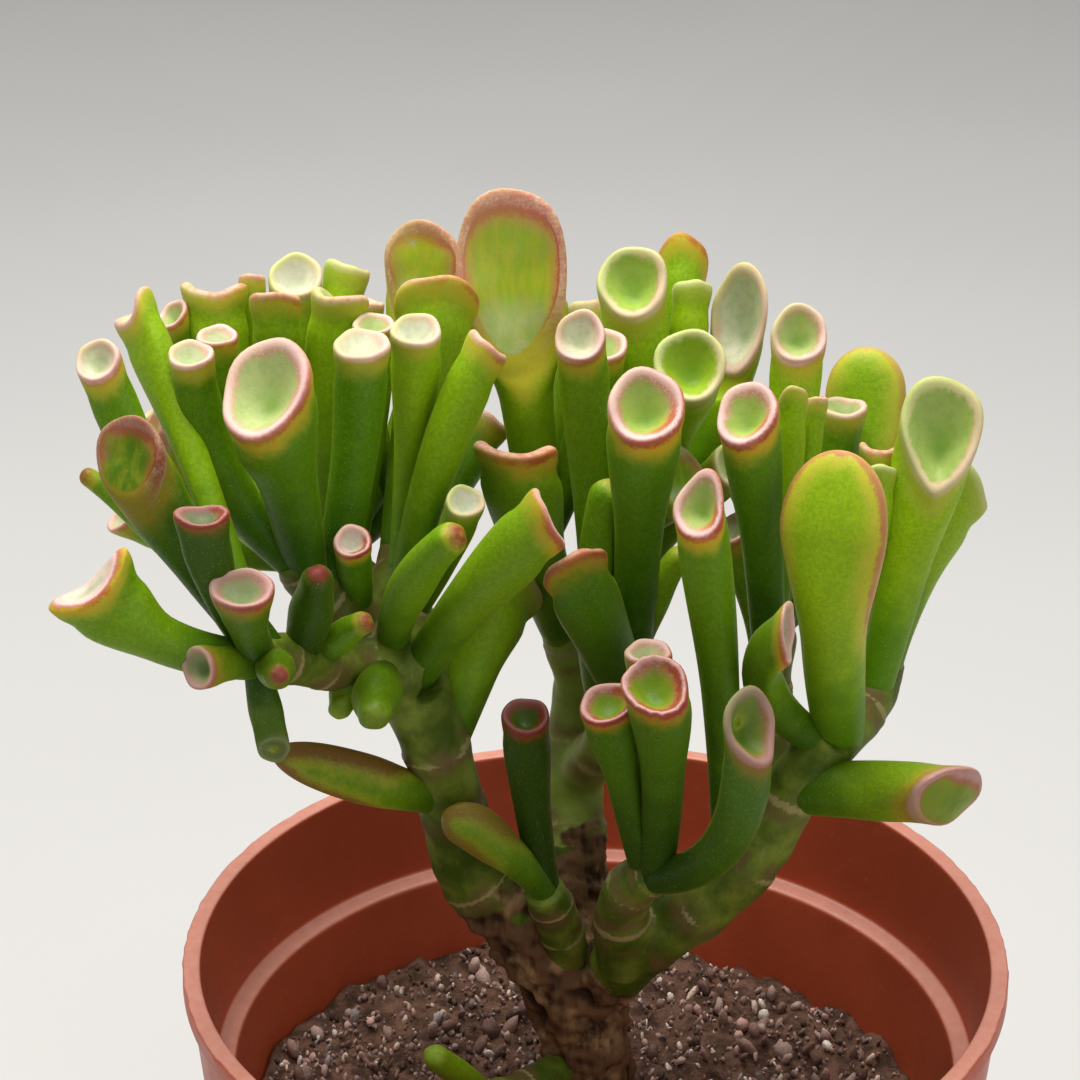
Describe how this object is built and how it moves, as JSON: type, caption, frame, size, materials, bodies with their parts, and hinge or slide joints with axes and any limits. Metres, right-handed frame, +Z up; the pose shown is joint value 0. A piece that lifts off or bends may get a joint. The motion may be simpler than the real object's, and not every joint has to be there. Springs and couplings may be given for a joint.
{
  "type": "trumpet jade plant in a nursery pot",
  "caption": "Bushy succulent with forked woody stems and upright tube-shaped leaves that end in dished round mouths, growing in a plain round plastic nursery pot.",
  "frame": {"origin": "middle of the pot's flat base, on the surface it stands on", "axes": "+Z up along the pot's axis; -Y is the plant's front, the side it is seen from; +X to the right of that view"},
  "size_m": [0.1311, 0.12, 0.2148],
  "materials": {
    "pot_plastic": "satin",
    "soil": "matte",
    "bark": "matte",
    "leaf": "satin"
  },
  "bodies": {
    "root": {"pot": "pot_plastic", "soil": "soil", "trunk": "bark", "left_branch": "leaf", "centre_branch": "leaf", "right_branch": "leaf", "fork_shoot": "leaf", "base_shoot": "leaf"}
  },
  "joints": []
}
